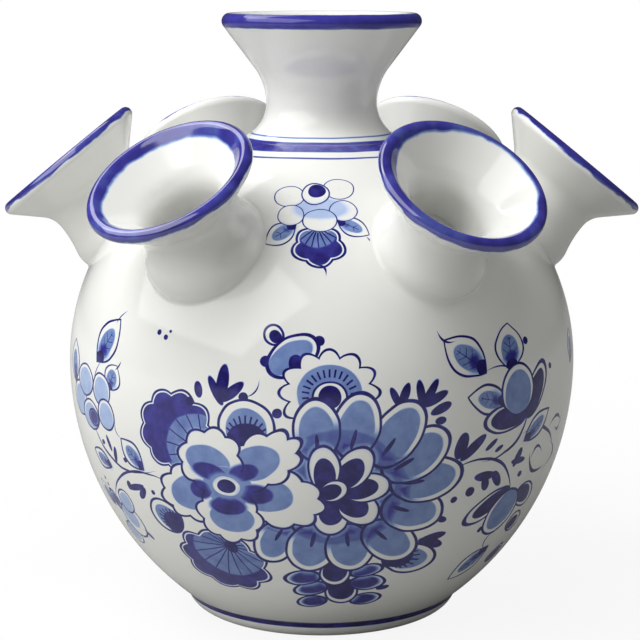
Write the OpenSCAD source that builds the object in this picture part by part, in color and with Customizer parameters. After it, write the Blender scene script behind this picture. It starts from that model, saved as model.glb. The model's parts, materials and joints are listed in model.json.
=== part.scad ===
// Tulipiere: a glazed earthenware flower vase. A globe stands on a low foot ring and carries a flared
// neck and six flared spouts. The pieces are formed apart and luted together with thin layers of slip.
// Origin: centre of the foot's standing face. +Z is up and the front is towards -Y.

/* [Globe] */
// Radius of the globe at its widest ring
globe_r = 66.4; // [55:0.1:80]
// Height of the widest ring above the table
globe_mid_z = 66.2; // [58:0.1:72]
// Radius of the arc from the widest ring up to the shoulder
shoulder_arc_r = 60; // [52:0.5:66]
// Radius of the arc from the widest ring down to the foot
belly_arc_r = 79; // [74:0.5:90]
// Thickness of the globe's wall and floor
globe_wall = 4.5; // [3:0.1:6]

/* [Foot] */
// Height of the foot ring
foot_h = 4; // [3:0.1:4.5]
// Width of the foot ring, from its outer side to its inner side
foot_w = 10; // [9:0.1:14]
// Rounding of the foot's outer edge
foot_edge_r = 5; // [4.5:0.1:6]
// Rounding of the foot's inner edge
foot_inner_edge_r = 2; // [1:0.1:2.5]
// How far the foot stays back from the globe's base edge
foot_inset = 0.3; // [0.1:0.1:1]

/* [Neck] */
// Outer radius of the neck at its waist
neck_waist_r = 14.4; // [12:0.1:17]
// Height of the waist above the crown of the globe's upper arc
neck_rise = 7.3; // [6:0.1:9]
// Height of the lip above the waist
neck_flare_h = 23; // [20:0.1:28]
// Outer radius of the neck's lip
neck_lip_r = 25.8; // [24:0.1:29]
// Radius of the hollow curve between the waist and the flare
neck_flare_arc_r = 15; // [12:0.1:17]
// Thickness of the neck's wall
neck_wall = 4.2; // [3:0.1:5]

/* [Spouts] */
// Where the spouts sit on the shoulder, as the angle above the globe's widest ring
spout_seat_angle = 38; // [34:0.5:41]
// Lean of the spouts outwards from upright
spout_tilt = 39.2; // [36:0.1:45]
// Length of a spout along its axis, from its seat to its mouth
spout_len = 21.3; // [20:0.1:25]
// Outer radius of a spout's lip
spout_lip_r = 21; // [19.5:0.1:22]
// Outer radius of a spout at its waist
spout_waist_r = 12.6; // [11.5:0.1:13.5]
// Depth of the waist below the mouth
spout_waist_depth = 13.5; // [12.5:0.1:15]
// Radius of the hollow curve between the waist and the flare
spout_flare_arc_r = 6.5; // [5.5:0.1:7.5]
// How far the base of a spout swells out beyond its waist
spout_swell = 1.4; // [0.8:0.1:2]
// How far below its seat, along the axis, the base of a spout is widest
spout_swell_below = 2.2; // [1:0.1:4]
// Radius of the swelling curve of the base
spout_swell_arc_r = 8; // [7:0.1:10]
// Thickness of a spout's wall
spout_wall = 3.4; // [2.6:0.1:4]

/* [Slip] */
// Thickness of the slip between two pieces
slip_t = 0.6; // [0.3:0.1:1]
// How far the slip is squeezed out round the base of a spout
slip_bead = 0.6; // [0.3:0.1:1]

/* [Hidden] */
$fn = 128;

// Turn of each spout about the upright axis, from the front, positive towards +X. They are set by hand, so
// the two in front stand a little off a true sixth of the round, and also lean a little sideways.
front_left_angle = -32;
front_right_angle = 29.3;
left_angle = -90;
right_angle = 90;
back_left_angle = -150;
back_right_angle = 150;
all_angles = [
    front_left_angle, front_right_angle, left_angle, right_angle, back_left_angle, back_right_angle
];
front_left_tilt_angle = 35.7;
front_left_side_angle = -4.2;
front_right_side_angle = 1.7;

// Lean outwards from upright, and sideways, of the spout at the given turn
function tilt_angle(turn) = turn == front_left_angle ? front_left_tilt_angle : spout_tilt;
function side_angle(turn) =
    turn == front_left_angle ? front_left_side_angle :
    turn == front_right_angle ? front_right_side_angle : 0;

GLAZED_WHITE = [0.95, 0.95, 0.93];
SLIP_WHITE = [0.86, 0.85, 0.82];

// Room that a cutting shape needs past what it cuts
past = globe_r;
// How much a curve cuts into the line that it runs into, so that the two cross instead of only touching
graze = 0.002;

// Globe: both arcs are centred at the height of the widest ring, so they meet there without a corner
shoulder_c = [globe_r - shoulder_arc_r, globe_mid_z];
belly_c = [globe_r - belly_arc_r, globe_mid_z];
globe_base_z = foot_h + slip_t;
globe_base_r = belly_c[0] + sqrt(pow(belly_arc_r, 2) - pow(globe_mid_z - globe_base_z, 2));

// Foot: the centres of its two rounded edges
foot_r = globe_base_r - foot_inset;
foot_in_r = foot_r - foot_w;
foot_edge_c = [foot_r - foot_edge_r, foot_edge_r];
foot_inner_edge_c = [foot_in_r + foot_inner_edge_r, foot_inner_edge_r];

// Neck: its lower hollow curve starts upright at the waist and runs smoothly into the shoulder
neck_drop = shoulder_arc_r + neck_rise;
neck_waist_z = globe_mid_z + neck_drop;
neck_offset = neck_waist_r - shoulder_c[0];
neck_foot_arc_r = (pow(neck_offset, 2) + pow(neck_drop, 2) - pow(shoulder_arc_r, 2))
    / (2 * (shoulder_arc_r - neck_offset));
neck_foot_c = [neck_waist_r + neck_foot_arc_r, neck_waist_z];
neck_seat_z = globe_mid_z + neck_drop * shoulder_arc_r / (shoulder_arc_r + neck_foot_arc_r);
neck_seat_bore_r = neck_foot_c[0]
    - sqrt(pow(neck_foot_arc_r + neck_wall, 2) - pow(neck_waist_z - neck_seat_z, 2));
neck_top_z = neck_waist_z + neck_flare_h;

// Spouts: the seat is a point of the half section of the whole vase
spout_seat = shoulder_c + shoulder_arc_r * [cos(spout_seat_angle), sin(spout_seat_angle)];
spout_bore_r = spout_waist_r - spout_wall;
spout_base_r = spout_waist_r + spout_swell;
// Depth below the mouth at which a spout's blank ends inside the globe, before its saddle is cut
spout_blank_depth = spout_len + spout_base_r;
// The stem's hollow curve runs smoothly into the swelling curve of the base
spout_swell_depth = spout_len + spout_swell_below;
stem_fall = spout_swell_depth - spout_waist_depth;
stem_arc_r = (pow(spout_swell, 2) + pow(stem_fall, 2)) / (2 * spout_swell) - spout_swell_arc_r;
stem_turn_z = -spout_waist_depth - stem_fall * stem_arc_r / (stem_arc_r + spout_swell_arc_r);

// Angle of the unit vector that points from c1, the centre of a hollow curve of radius r1, square on to
// the straight outer line of a flare, which also touches the round lip of radius r2 about c2
function flare_angle(c1, r1, c2, r2) =
    atan2(c2[1] - c1[1], c2[0] - c1[0]) + acos((r1 + r2) / norm(c2 - c1));

// Half section, filled in to the axis, of a bell that opens upwards: a hollow curve of radius r about c,
// from drop below c up to the line square to n, then that line, and its end closed square from p to q
module bell(c, r, n, drop, p, q) {
    difference() {
        polygon([[0, c[1] - drop], [c[0], c[1] - drop], c + r * n, p, q, [0, q[1]]]);
        translate(c) circle(r + graze);
    }
}

// Half section of a flare's wall: up from its waist through a hollow curve and a cone to a round lip. Its
// hollow curves run on below the waist by drop. What lies below it is given by two children, both filled in
// to the axis: the first is the outside, the second the hollow.
module flare(waist_r, waist_z, arc_r, lip_r, lip_z, wall, drop) {
    c1 = [waist_r + arc_r, waist_z];
    c2 = [lip_r - wall / 2, lip_z - wall / 2];
    a = flare_angle(c1, arc_r, c2, wall / 2);
    n = [cos(a), sin(a)];
    along = [sin(a), -cos(a)];
    outer_end = c2 - wall / 2 * n;
    inner_end = c2 + wall / 2 * n;
    difference() {
        union() {
            bell(c1, arc_r, n, drop, outer_end, inner_end);
            children(0);
        }
        bell(c1, arc_r + wall, n, drop, inner_end, inner_end + wall * along);
        children(1);
    }
    translate(c2) circle(wall / 2 + graze);
}

// Half section of the globe from height z0 to height z1, with both arcs grown outwards by grow
module globe_section(grow, z0, z1) {
    intersection() {
        translate(belly_c) circle(belly_arc_r + grow);
        translate([0, z0]) square([2 * past, globe_mid_z - z0]);
    }
    intersection() {
        translate(shoulder_c) circle(shoulder_arc_r + grow);
        translate([0, globe_mid_z]) square([2 * past, z1 - globe_mid_z]);
    }
}

// The globe without its hollow, grown outwards by grow
module globe_solid(grow) {
    rotate_extrude() globe_section(grow, globe_base_z, neck_seat_z);
}

// Half section of the foot ring, with a flat standing face between its rounded edges
module foot_section() {
    intersection() {
        translate(foot_edge_c) circle(foot_edge_r);
        translate([foot_edge_c[0], -past]) square([past, past + foot_h]);
    }
    translate([foot_inner_edge_c[0], 0]) square([foot_edge_c[0] - foot_inner_edge_c[0], foot_h]);
    translate([foot_in_r, foot_inner_edge_r]) square([foot_inner_edge_r, foot_h - foot_inner_edge_r]);
    intersection() {
        translate(foot_inner_edge_c) circle(foot_inner_edge_r);
        translate([0, -past]) square([foot_inner_edge_c[0], past + foot_inner_edge_r]);
    }
}

// Half section, filled in to the axis, of the neck's foot below the waist, with hollow curves of radius r
module neck_foot(r) {
    difference() {
        translate([0, globe_mid_z]) square([neck_foot_c[0], neck_drop]);
        translate(neck_foot_c) circle(r);
    }
}

// Half section of the neck from height z0 to height z1
module neck_section(z0, z1) {
    intersection() {
        flare(neck_waist_r, neck_waist_z, neck_flare_arc_r,
            neck_lip_r, neck_top_z, neck_wall, neck_rise / 2) {
            neck_foot(neck_foot_arc_r);
            neck_foot(neck_foot_arc_r + neck_wall);
        }
        translate([0, z0]) square([2 * past, z1 - z0]);
    }
}

// Half section, filled in to the axis, of a spout's stem and its swelling base. The stem reaches a little
// way up into the flare.
module spout_stem() {
    stem_top_z = spout_flare_arc_r / 2 - spout_waist_depth;
    difference() {
        translate([0, stem_turn_z]) square([spout_base_r, stem_top_z - stem_turn_z]);
        translate([spout_waist_r + stem_arc_r, -spout_waist_depth]) circle(stem_arc_r);
    }
    intersection() {
        translate([spout_base_r - spout_swell_arc_r, -spout_swell_depth]) circle(spout_swell_arc_r + graze);
        translate([0, -spout_blank_depth]) square([past, spout_blank_depth - spout_waist_depth]);
    }
}

// Half section of a spout's blank about its own axis, with the mouth at height 0
module spout_section() {
    bore_top_z = spout_wall - spout_waist_depth;
    flare(spout_waist_r, -spout_waist_depth, spout_flare_arc_r, spout_lip_r, 0, spout_wall, 0) {
        spout_stem();
        translate([0, -spout_blank_depth]) square([spout_bore_r, bore_top_z + spout_blank_depth]);
    }
}

// Takes a shape on the upright axis, with its mouth at height 0, to the spout at the given turn
module at_spout(turn) {
    rotate(turn) translate([0, -spout_seat[0], spout_seat[1]])
        rotate([tilt_angle(turn), side_angle(turn), 0]) translate([0, 0, spout_len]) children();
}

module globe_body() {
    color(GLAZED_WHITE) difference() {
        rotate_extrude() difference() {
            globe_section(0, globe_base_z, neck_seat_z);
            globe_section(-globe_wall, globe_base_z + globe_wall, neck_seat_z);
            translate([0, globe_mid_z]) square([neck_seat_bore_r, past]);
        }
        for (turn = all_angles)
            at_spout(turn) translate([0, 0, -spout_blank_depth])
                cylinder(h = spout_blank_depth, r = spout_bore_r);
    }
}

module foot_ring() {
    color(GLAZED_WHITE) rotate_extrude() foot_section();
}

module centre_neck() {
    color(GLAZED_WHITE) rotate_extrude() neck_section(neck_seat_z + slip_t, neck_top_z + past);
}

// A spout, with its blank cut to a saddle that fits the slip on the shoulder
module spout(turn) {
    color(GLAZED_WHITE) difference() {
        at_spout(turn) rotate_extrude() spout_section();
        globe_solid(slip_t);
    }
}

module neck_slip() {
    color(SLIP_WHITE) rotate_extrude() neck_section(neck_seat_z, neck_seat_z + slip_t);
}

module foot_slip() {
    color(SLIP_WHITE) rotate_extrude() translate([foot_in_r, foot_h]) square([foot_w, slip_t]);
}

// The layer of slip between a spout and the globe, pierced by the bore
module spout_slip(turn) {
    color(SLIP_WHITE) difference() {
        intersection() {
            at_spout(turn) rotate_extrude() translate([spout_bore_r, -spout_blank_depth])
                square([spout_base_r + slip_bead - spout_bore_r, spout_blank_depth]);
            globe_solid(slip_t);
        }
        globe_solid(0);
    }
}

globe_body();
foot_ring();
centre_neck();
spout(front_left_angle);  // spout_front_left
spout(front_right_angle);  // spout_front_right
spout(left_angle);  // spout_left
spout(right_angle);  // spout_right
spout(back_left_angle);  // spout_back_left
spout(back_right_angle);  // spout_back_right
neck_slip();
foot_slip();
spout_slip(front_left_angle);  // slip_front_left
spout_slip(front_right_angle);  // slip_front_right
spout_slip(left_angle);  // slip_left
spout_slip(right_angle);  // slip_right
spout_slip(back_left_angle);  // slip_back_left
spout_slip(back_right_angle);  // slip_back_right
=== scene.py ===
# %% [markdown]
# # A tulip vase in blue-and-white earthenware
# The vase is a globe on a low foot, with a flared neck in the middle and six flared spouts round its
# shoulder. White tin glaze covers it all, and the flowers and bands were brushed on in cobalt. The packed
# CAD model gives every place and size; this lesson dresses it with smooth surfaces and a painted glaze.

import json
import math

import bmesh
import bpy
import numpy as np
from mathutils import Matrix

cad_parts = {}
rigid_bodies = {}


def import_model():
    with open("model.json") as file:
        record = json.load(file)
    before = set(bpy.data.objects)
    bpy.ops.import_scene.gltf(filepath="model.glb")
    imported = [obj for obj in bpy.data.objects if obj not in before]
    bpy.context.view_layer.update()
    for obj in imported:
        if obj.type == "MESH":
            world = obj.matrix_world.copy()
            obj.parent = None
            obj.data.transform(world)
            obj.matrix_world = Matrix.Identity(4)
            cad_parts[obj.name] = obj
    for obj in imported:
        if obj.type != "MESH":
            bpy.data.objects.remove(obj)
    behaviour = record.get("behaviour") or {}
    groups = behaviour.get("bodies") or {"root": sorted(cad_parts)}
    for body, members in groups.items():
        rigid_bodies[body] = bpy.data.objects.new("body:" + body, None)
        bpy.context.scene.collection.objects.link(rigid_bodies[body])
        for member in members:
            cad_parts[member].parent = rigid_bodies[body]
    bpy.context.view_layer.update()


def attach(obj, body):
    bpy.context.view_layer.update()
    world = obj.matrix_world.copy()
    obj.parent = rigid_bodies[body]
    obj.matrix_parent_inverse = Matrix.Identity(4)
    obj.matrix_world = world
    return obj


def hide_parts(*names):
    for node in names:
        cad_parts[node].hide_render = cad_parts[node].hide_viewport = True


for leftover in list(bpy.data.objects):
    bpy.data.objects.remove(leftover)
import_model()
MM = 0.001

# %% [markdown]
# ## Sizes
# Every curve of this vase is an arc or a straight line of a half section, so a few radii and heights are
# enough. They are the same millimetres as in the CAD source, apart from the bases of the two front spouts,
# which swell more here. The hollow curve at the neck's foot is the one that touches both the upright waist and
# the shoulder, so its radius follows from the others. A spout has a turn, a tilt, a sideways lean and a swell.

# %% The driving sizes, in millimetres
SHOULDER_C, SHOULDER_R = np.array([6.4, 66.2]), 60.0
BELLY_C, BELLY_R = np.array([-12.6, 66.2]), 79.0
GLOBE_WALL, BASE_Z = 4.5, 4.6
NECK_WAIST_R, NECK_WAIST_Z, NECK_TOP_Z, NECK_LIP_R = 14.4, 133.5, 156.5, 25.8
NECK_ARC_R, NECK_WALL = 15.0, 4.2
SPOUT_LEN, SPOUT_LIP_R, SPOUT_WAIST_R = 21.3, 21.0, 12.6
SPOUT_WAIST_DEPTH, SPOUT_ARC_R, SPOUT_WALL = 13.5, 6.5, 3.4
SPOUT_SWELL, SPOUT_SWELL_DEPTH, SPOUT_SWELL_R = 1.4, 23.5, 8.0
SPOUT_TILT, SEAT_ANGLE = 39.2, 38
SPOUTS = {
    "front_left": (-32, 35.7, -4.2, 2.9),
    "front_right": (29.3, SPOUT_TILT, 1.7, 2.0),
    "left": (-90, SPOUT_TILT, 0, SPOUT_SWELL),
    "right": (90, SPOUT_TILT, 0, SPOUT_SWELL),
    "back_left": (-150, SPOUT_TILT, 0, SPOUT_SWELL),
    "back_right": (150, SPOUT_TILT, 0, SPOUT_SWELL),
}
BORE_R = SPOUT_WAIST_R - SPOUT_WALL
BORE_FROM, BORE_TO, SINK = 4, 36, 0.25
FOOT_IN_R, FOOT_OUT_R, FOOT_IN_ROUND, FOOT_OUT_ROUND = 28.5, 31.5, 2.0, 5.0
FAR_FROM_LIP = 40.0

neck_drop, neck_offset = NECK_WAIST_Z - SHOULDER_C[1], NECK_WAIST_R - SHOULDER_C[0]
NECK_FOOT_R = (neck_offset**2 + neck_drop**2 - SHOULDER_R**2) / (2 * (SHOULDER_R - neck_offset))
NECK_FOOT_C = np.array([NECK_WAIST_R + NECK_FOOT_R, NECK_WAIST_Z])
SEAT_Z = SHOULDER_C[1] + neck_drop * SHOULDER_R / (SHOULDER_R + NECK_FOOT_R)
print(f"neck: foot curve of {NECK_FOOT_R:.2f} mm, seated at a height of {SEAT_Z:.2f} mm")

# %% [markdown]
# ## Sections and surfaces
# A potter's profile is drawn once and then carried round. Two helpers draw the profile as an array of points,
# one carries it round an axis, and one turns any grid of points into a mesh. A screw modifier could do the
# turning, but a grid made with numpy also lets a spout end where it meets the globe.

# %% Helpers for sections and grids


def arc(centre, radius, start, end, count):
    """Points centre + radius (cos a, sin a), with a from start to end in degrees."""
    a = np.radians(np.linspace(start, end, count))
    return np.asarray(centre) + radius * np.stack([np.cos(a), np.sin(a)], axis=-1)


def straight(start, end, count):
    """Points start + s (end - start), with s from 0 to 1, both ends left out."""
    s = np.linspace(0, 1, count + 2)[1:-1, None]
    return np.asarray(start) + s * (np.asarray(end) - np.asarray(start))


def turned(section, columns):
    """Section points (r, z) carried round the upright axis: (r sin t, -r cos t, z) for t from 0 to 360 degrees."""
    t = np.linspace(0, 2 * np.pi, columns, endpoint=False)
    r, z = section[:, :1], section[:, 1:]
    return np.stack([r * np.sin(t), -r * np.cos(t), z + 0 * t], axis=-1)


def piece_from_grid(name, points, closed=True, values=None):
    """Mesh of a grid of points in mm: rows run along the section, columns round the axis. Poles are merged."""
    rows, columns = points.shape[:2]
    index = np.arange(rows * columns).reshape(rows, columns)
    index = np.vstack([index, index[:1]]) if closed else index
    index = np.hstack([index, index[:, :1]])
    quads = np.stack([index[:-1, :-1], index[:-1, 1:], index[1:, 1:], index[1:, :-1]], axis=-1)
    mesh = bpy.data.meshes.new(name)
    mesh.from_pydata((points.reshape(-1, 3) * MM).tolist(), [], quads.reshape(-1, 4).tolist())
    for key, value in (values or {}).items():
        layer = mesh.attributes.new(key, "FLOAT", "POINT")
        layer.data.foreach_set("value", np.broadcast_to(value, (rows, columns)).ravel().astype(np.float32))
    work = bmesh.new()
    work.from_mesh(mesh)
    bmesh.ops.remove_doubles(work, verts=work.verts, dist=1e-6)
    bmesh.ops.recalc_face_normals(work, faces=work.faces)
    work.to_mesh(mesh)
    work.free()
    mesh.polygons.foreach_set("use_smooth", np.ones(len(mesh.polygons), bool))
    mesh.set_sharp_from_angle(angle=math.radians(50))
    piece = bpy.data.objects.new(name, mesh)
    bpy.context.scene.collection.objects.link(piece)
    print(f"{name}: {len(mesh.vertices)} points, {len(mesh.polygons)} faces")
    return piece


def dress(piece, slot, *nodes):
    """The piece rides on the vase and stands for these nodes, which it hides. The slot is not used."""
    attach(piece, "root")
    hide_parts(*nodes)


# %% [markdown]
# ## The globe
# The body was thrown or cast as one hollow shell. Its section has two arcs that meet at the widest ring
# without a corner: a flatter one down to the foot and a rounder one up to the neck. It is carried round as a
# closed section, outside and inside, and the six bores are cut with one Boolean, because holes in a grid
# would leave steps.

# %% The globe's shell
belly_from = math.degrees(math.asin((BASE_Z - BELLY_C[1]) / BELLY_R))
shoulder_to = math.degrees(math.asin((SEAT_Z - SHOULDER_C[1]) / SHOULDER_R))
outside = np.vstack(
    [arc(BELLY_C, BELLY_R, belly_from, 0, 72)[:-1], arc(SHOULDER_C, SHOULDER_R, 0, shoulder_to, 84)]
)
inner_r, floor_z = SHOULDER_R - GLOBE_WALL, BASE_Z + GLOBE_WALL
floor_from = math.degrees(math.asin((floor_z - BELLY_C[1]) / (BELLY_R - GLOBE_WALL)))
neck_bore = NECK_FOOT_C[0] - math.sqrt((NECK_FOOT_R + NECK_WALL) ** 2 - (NECK_WAIST_Z - SEAT_Z) ** 2)
crown_to = math.degrees(math.acos((neck_bore - SHOULDER_C[0]) / inner_r))
inside = np.vstack(
    [
        arc(SHOULDER_C, inner_r, crown_to, 0, 40)[:-1],
        arc(BELLY_C, BELLY_R - GLOBE_WALL, 0, floor_from, 40),
    ]
)
floor_r = inside[-1, 0]
globe_section = np.vstack(
    [
        [[0, BASE_Z]],
        straight([0, BASE_Z], outside[0], 6),
        outside,
        straight(outside[-1], [neck_bore, SEAT_Z], 2),
        [[neck_bore, SEAT_Z]],
        inside,
        straight([floor_r, floor_z], [0, floor_z], 6),
        [[0, floor_z]],
    ]
)
globe = piece_from_grid("painted_globe", turned(globe_section, 288), closed=False)

# %% [markdown]
# ## Where a spout stands
# Each spout leans outwards and its axis passes through a point of the shoulder. A small frame holds the
# middle of its mouth, the direction of its axis and two directions across it, so that a spout's own section
# can be written as if it stood upright.

# %% The frame of a spout, and the bores
seat_at = math.radians(SEAT_ANGLE)
SPOUT_SEAT = SHOULDER_C + SHOULDER_R * np.array([math.cos(seat_at), math.sin(seat_at)])
UP = np.array([0, 0, 1])


def round_axis(turn):
    """Directions away from the upright axis and round it, at a turn from the front in degrees."""
    t = math.radians(turn)
    return np.array([math.sin(t), -math.cos(t), 0]), np.array([math.cos(t), math.sin(t), 0])


def in_spout(stand, around, r, depth):
    """Point at radius r, at an angle around the axis and at a depth below the mouth, of the spout that stands
    at a turn, an outward tilt and a sideways lean: mouth - depth axis + r (cos a side + sin a across)."""
    out, side = round_axis(stand[0])
    tilt, lean = np.radians(stand[1:3])
    seat = out * SPOUT_SEAT[0] + UP * SPOUT_SEAT[1]
    up, side = UP * math.cos(lean) + side * math.sin(lean), side * math.cos(lean) - UP * math.sin(lean)
    axis = out * math.sin(tilt) + up * math.cos(tilt)
    across = up * math.sin(tilt) - out * math.cos(tilt)
    mouth = seat + SPOUT_LEN * axis
    ring = np.cos(around)[..., None] * side + np.sin(around)[..., None] * across
    return mouth - np.asarray(depth)[..., None] * axis + np.asarray(r)[..., None] * ring


AROUND = np.linspace(0, 2 * np.pi, 168, endpoint=False)
cutters = []
for name, stand in SPOUTS.items():
    r = np.array([0, BORE_R, BORE_R, 0])[:, None] + 0 * AROUND
    depth = np.array([BORE_FROM, BORE_FROM, BORE_TO, BORE_TO])[:, None] + 0 * AROUND
    cutters.append(piece_from_grid("bore_" + name, in_spout(stand, AROUND + 0 * r, r, depth), closed=False))
for cutter in cutters:
    cut = globe.modifiers.new(cutter.name, "BOOLEAN")
    cut.object, cut.operation, cut.solver = cutter, "DIFFERENCE", "EXACT"
bored = bpy.data.meshes.new_from_object(globe.evaluated_get(bpy.context.evaluated_depsgraph_get()))
globe.modifiers.clear()
globe.data = bored
for cutter in cutters:
    bpy.data.objects.remove(cutter)
bored.polygons.foreach_set("use_smooth", np.ones(len(bored.polygons), bool))
bored.set_sharp_from_angle(angle=math.radians(35))
dress(globe, "glaze", "globe_body")
print("bored globe:", len(bored.polygons), "faces")

# %% [markdown]
# ## Neck and foot
# The neck rises from the shoulder in a hollow curve, narrows to a waist and opens to a rounded lip. The foot
# is a low ring whose outer edge is rolled under. Slip fills both joints and the glaze runs over them, so each
# surface here covers its slip as well. Along the neck an attribute keeps the distance from the top of the
# lip, which the painted band needs later.

# %% A flared wall, for the neck and the spouts


def flare(waist_r, waist_z, arc_r, lip_r, lip_z, wall):
    """Section of a flared wall from the outer waist up, over the lip and down to the inner waist: an arc, a
    line that touches it and the round lip, the lip's arc, and the same line and arc a wall further in.
    Also gives the distance of each point from the top of the lip, positive outside."""
    c1, c2 = np.array([waist_r + arc_r, waist_z]), np.array([lip_r - wall / 2, lip_z - wall / 2])
    between = c2 - c1
    a = math.degrees(math.atan2(between[1], between[0]) + math.acos((arc_r + wall / 2) / np.hypot(*between)))
    lip = arc(c2, wall / 2, a - 180, a, 28)
    outer, inner = arc(c1, arc_r, 180, a, 22), arc(c1, arc_r + wall, a, 180, 26)
    section = np.vstack([outer, straight(outer[-1], lip[0], 12), lip, straight(lip[-1], inner[0], 12), inner])
    steps = np.hypot(*np.diff(section, axis=0).T)
    along = np.concatenate([[0], np.cumsum(steps)])
    return section, along[np.argmax(section[:, 1])] - along


# %% The neck and the foot
neck_flare, neck_lip = flare(NECK_WAIST_R, NECK_WAIST_Z, NECK_ARC_R, NECK_LIP_R, NECK_TOP_Z, NECK_WALL)
foot_to = 180 + math.degrees(math.asin((NECK_WAIST_Z - SEAT_Z) / NECK_FOOT_R))
bore_to = 180 + math.degrees(math.asin((NECK_WAIST_Z - SEAT_Z) / (NECK_FOOT_R + NECK_WALL)))
neck_outer = arc(NECK_FOOT_C, NECK_FOOT_R, foot_to, 180, 26)[:-1]
neck_inner = arc(NECK_FOOT_C, NECK_FOOT_R + NECK_WALL, 180, bore_to, 18)[1:]
neck_section = np.vstack([neck_outer, neck_flare, neck_inner])
neck_along = np.concatenate(
    [np.full(len(neck_outer), FAR_FROM_LIP), neck_lip, np.full(len(neck_inner), -FAR_FROM_LIP)]
)
neck = piece_from_grid("flared_neck", turned(neck_section, 224), values={"lip": neck_along[:, None]})
dress(neck, "glaze", "centre_neck", "neck_slip")

foot_section = np.vstack(
    [
        arc([FOOT_IN_R, FOOT_IN_ROUND], FOOT_IN_ROUND, 180, 270, 14),
        straight([FOOT_IN_R, 0], [FOOT_OUT_R, 0], 3),
        arc([FOOT_OUT_R, FOOT_OUT_ROUND], FOOT_OUT_ROUND, 270, 348.5, 26),
        [[36.5, 4.1], [36.7, BASE_Z], [31.0, BASE_Z], [26.5, BASE_Z]],
    ]
)
foot = piece_from_grid("foot_ring_glazed", turned(foot_section, 192))
dress(foot, "foot", "foot_ring", "foot_slip")

# %% [markdown]
# ## The spouts
# A spout is a little vase of its own: waist, flare and rounded lip, with a base that swells slightly before it
# meets the globe. On the real pot the base is cut to a saddle. Here each column of the grid runs down the
# section until it reaches the globe, and halving the interval finds that depth for all columns at once. The
# blue of a lip was brushed on by hand, so the distance kept for it is shifted, and inside it swings a little.

# %% Spout walls that end on the globe
spout_flare, spout_lip = flare(SPOUT_WAIST_R, -SPOUT_WAIST_DEPTH, SPOUT_ARC_R, SPOUT_LIP_R, 0, SPOUT_WALL)
STEM_FALL = SPOUT_SWELL_DEPTH - SPOUT_WAIST_DEPTH


def stem_radius(stand, depth):
    """Outer radius below the waist: a hollow arc down to the turn, then a swelling arc that runs on from it."""
    swell = stand[3]
    hollow_r = (swell**2 + STEM_FALL**2) / (2 * swell) - SPOUT_SWELL_R
    turn = SPOUT_WAIST_DEPTH + STEM_FALL * hollow_r / (hollow_r + SPOUT_SWELL_R)
    hollow = SPOUT_WAIST_R + hollow_r - np.sqrt(np.clip(hollow_r**2 - (depth - SPOUT_WAIST_DEPTH) ** 2, 0, None))
    bulge = np.sqrt(np.clip(SPOUT_SWELL_R**2 - (depth - SPOUT_SWELL_DEPTH) ** 2, 0, None))
    return np.where(depth < turn, hollow, SPOUT_WAIST_R + swell - SPOUT_SWELL_R + bulge)


def bore_radius(stand, depth):
    """Inner radius below the waist, the same at every depth."""
    return BORE_R + 0 * depth


def above_globe(p):
    """Height of points above the globe's shoulder: the distance from its arc's ring, less the arc's radius."""
    return np.hypot(np.hypot(p[..., 0], p[..., 1]) - SHOULDER_C[0], p[..., 2] - SHOULDER_C[1]) - SHOULDER_R


def meets_globe(stand, radius, gap):
    """Depth at which a wall of the given radius(stand, depth) comes down to gap above the globe, per column."""
    low, high = np.full(AROUND.shape, 14.0), np.full(AROUND.shape, 33.0)
    for _ in range(40):
        middle = (low + high) / 2
        over = above_globe(in_spout(stand, AROUND, radius(stand, middle), middle)) > gap
        low, high = np.where(over, middle, low), np.where(over, high, middle)
    return low


def spout_grid(stand):
    """Grid of one spout: up the outer stem from the globe, over the flare, and down the bore to the globe."""
    base = meets_globe(stand, stem_radius, -SINK)
    bottom = meets_globe(stand, bore_radius, -SINK)
    rise, fall = np.linspace(0, 1, 26)[:-1, None], np.linspace(0, 1, 12)[1:, None]
    up = base + rise * (SPOUT_WAIST_DEPTH - base)
    down = SPOUT_WAIST_DEPTH + fall * (bottom - SPOUT_WAIST_DEPTH)
    radius = np.vstack([stem_radius(stand, up), spout_flare[:, :1] + 0 * AROUND, bore_radius(stand, down)])
    depth = np.vstack([up, -spout_flare[:, 1:] + 0 * AROUND, down])
    along = np.concatenate([np.full(len(up), FAR_FROM_LIP), spout_lip, np.full(len(down), -FAR_FROM_LIP)])
    return in_spout(stand, AROUND + 0 * radius, radius, depth), along[:, None]


spouts = []
BRUSHED = {
    "front_left": (0, 0.6, 0.5, 60),
    "front_right": (0, -0.5, 1.3, 180),
    "back_left": (1.5, 1.8, 0, 0),
    "back_right": (1.5, 1.8, 0, 0),
}
for name, stand in SPOUTS.items():
    points, along = spout_grid(stand)
    outer, inner, swing, side = BRUSHED.get(name, (0.2, 0.2, 0, 0))
    lip = along + np.where(along > 0, outer, inner + swing * np.cos(AROUND - math.radians(side)))
    spout = piece_from_grid("spout_" + name + "_glazed", points, values={"lip": lip})
    dress(spout, "glaze", "spout_" + name)
    spouts.append(spout)

# %% [markdown]
# ## The slip round each spout
# Soft clay holds a spout on the globe and is wiped with a finger, which leaves a fine hollow line of slip.
# Its section is a curve that leaves the globe along the globe and arrives at the spout along the spout: the
# quadratic curve (1-s)^2 A + 2s(1-s) E + s^2 B, where E is the corner, A lies on the globe and B on the spout.

# %% Fillets of slip
FILLET, SOFT_FILLET = 0.8, 1.2


def unit(v):
    """Vectors divided by their own lengths."""
    return v / np.linalg.norm(v, axis=-1, keepdims=True)


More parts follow.
